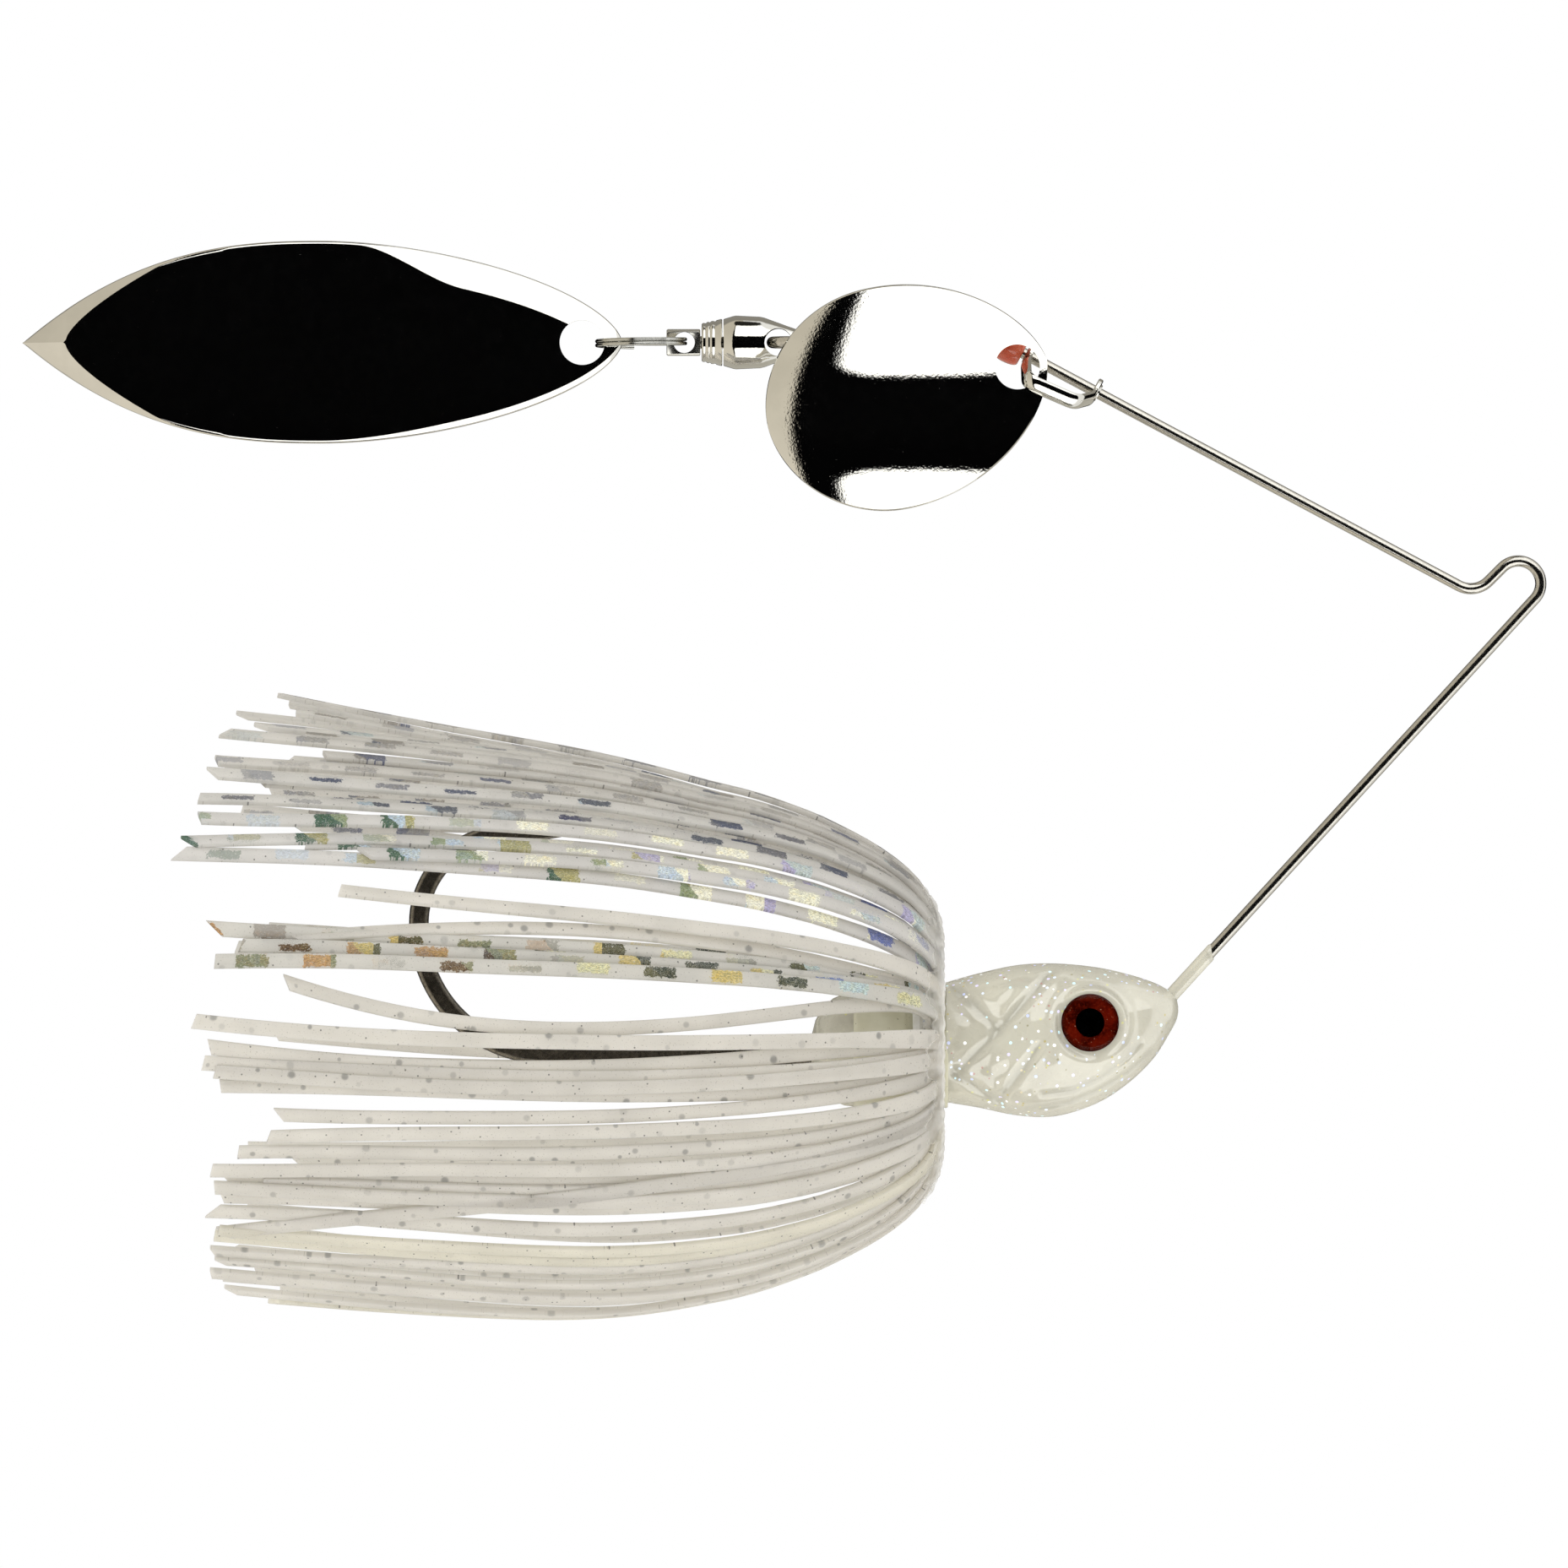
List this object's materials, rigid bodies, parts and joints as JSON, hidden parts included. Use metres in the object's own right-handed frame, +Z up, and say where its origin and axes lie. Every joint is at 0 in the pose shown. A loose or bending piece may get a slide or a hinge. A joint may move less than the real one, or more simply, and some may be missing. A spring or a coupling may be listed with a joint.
{
  "type": "spinnerbait",
  "caption": "Double-bladed spinnerbait: bent wire arm with an oval and a willow-leaf blade over a painted lead head, forged hook and strand skirt.",
  "frame": {"origin": "middle of the line tie, the open bend in the wire at the nose that the line is tied to", "axes": "+X to the nose, the way the lure is pulled; +Z up, to the blades; -Y to the side that is shown"},
  "size_m": [0.1204, 0.0487, 0.0852],
  "materials": {
    "stainless_wire": "bright drawn stainless",
    "nickel": "mirror nickel plate",
    "black_nickel": "black nickel plate",
    "pearl_paint": "pearl white gloss paint with fine glitter",
    "eye_foil": "printed foil",
    "eye_resin": "clear domed resin",
    "collar_rubber": "clear rubber",
    "silicone": "translucent silicone, speckled or foil printed",
    "red_bead": "translucent red"
  },
  "bodies": {
    "frame": {"wire_form": "stainless_wire", "head": "pearl_paint", "eye_foil_near": "eye_foil", "eye_foil_far": "eye_foil", "eye_dome_near": "eye_resin", "eye_dome_far": "eye_resin", "hook": "black_nickel", "skirt_collar": "collar_rubber", "skirt_tuft_01": "silicone", "skirt_tuft_02": "silicone", "skirt_tuft_03": "silicone", "skirt_tuft_04": "silicone", "skirt_tuft_05": "silicone", "skirt_tuft_06": "silicone", "skirt_tuft_07": "silicone", "skirt_tuft_08": "silicone", "skirt_tuft_09": "silicone", "skirt_tuft_10": "silicone", "skirt_tuft_11": "silicone", "skirt_tuft_12": "silicone", "skirt_tuft_13": "silicone", "skirt_tuft_14": "silicone", "skirt_tuft_15": "silicone", "skirt_tuft_16": "silicone", "skirt_tuft_17": "silicone", "skirt_tuft_18": "silicone", "skirt_tuft_19": "silicone", "skirt_tuft_20": "silicone"},
    "front_bead": {"bead_1": "red_bead"},
    "clevis_body": {"clevis": "nickel"},
    "colorado": {"colorado_blade": "nickel"},
    "rear_bead": {"bead_2": "red_bead"},
    "swivel": {"swivel_body": "nickel", "swivel_cap": "nickel", "bearing_ball_1": "stainless_wire", "bearing_ball_2": "stainless_wire", "bearing_ball_3": "stainless_wire", "bearing_ball_4": "stainless_wire", "bearing_ball_5": "stainless_wire", "bearing_ball_6": "stainless_wire"},
    "swivel_eye": {"swivel_shaft": "nickel"},
    "ring": {"split_ring": "stainless_wire"},
    "willow": {"willow_blade": "nickel"}
  },
  "joints": [
    {"name": "clevis_slide", "type": "slide", "parent": "frame", "child": "front_bead", "axis": [0.8821, 0, -0.471], "range_m": [0, 0.029]},
    {"name": "clevis_spin", "type": "hinge", "parent": "front_bead", "child": "clevis_body", "pos_m": [-0.0334, 0, 0.01515], "axis": [-0.8821, 0, 0.471], "range_deg": [-6, 250]},
    {"name": "colorado_flare", "type": "hinge", "parent": "clevis_body", "child": "colorado", "pos_m": [-0.0388, -0.0032, 0.0163], "axis": [0.471, 0, 0.8821], "range_deg": [0, 60]},
    {"name": "rear_bead_spin", "type": "hinge", "parent": "frame", "child": "rear_bead", "pos_m": [-0.0334, 0, 0.01515], "axis": [-0.8821, 0, 0.471], "continuous": true},
    {"name": "swivel_yaw", "type": "hinge", "parent": "frame", "child": "swivel", "pos_m": [-0.057, 0, 0.01903], "axis": [0, 0, 1], "range_deg": [-75, 8]},
    {"name": "swivel_spin", "type": "hinge", "parent": "swivel", "child": "swivel_eye", "pos_m": [-0.0657, 0, 0.01903], "axis": [1, 0, 0], "continuous": true},
    {"name": "ring_pitch", "type": "hinge", "parent": "swivel_eye", "child": "ring", "pos_m": [-0.066, 0, 0.01903], "axis": [0, 1, 0], "range_deg": [-20, 75]},
    {"name": "willow_pitch", "type": "hinge", "parent": "ring", "child": "willow", "pos_m": [-0.0726, 0, 0.01903], "axis": [0, 1, 0], "range_deg": [-8, 50]}
  ]
}
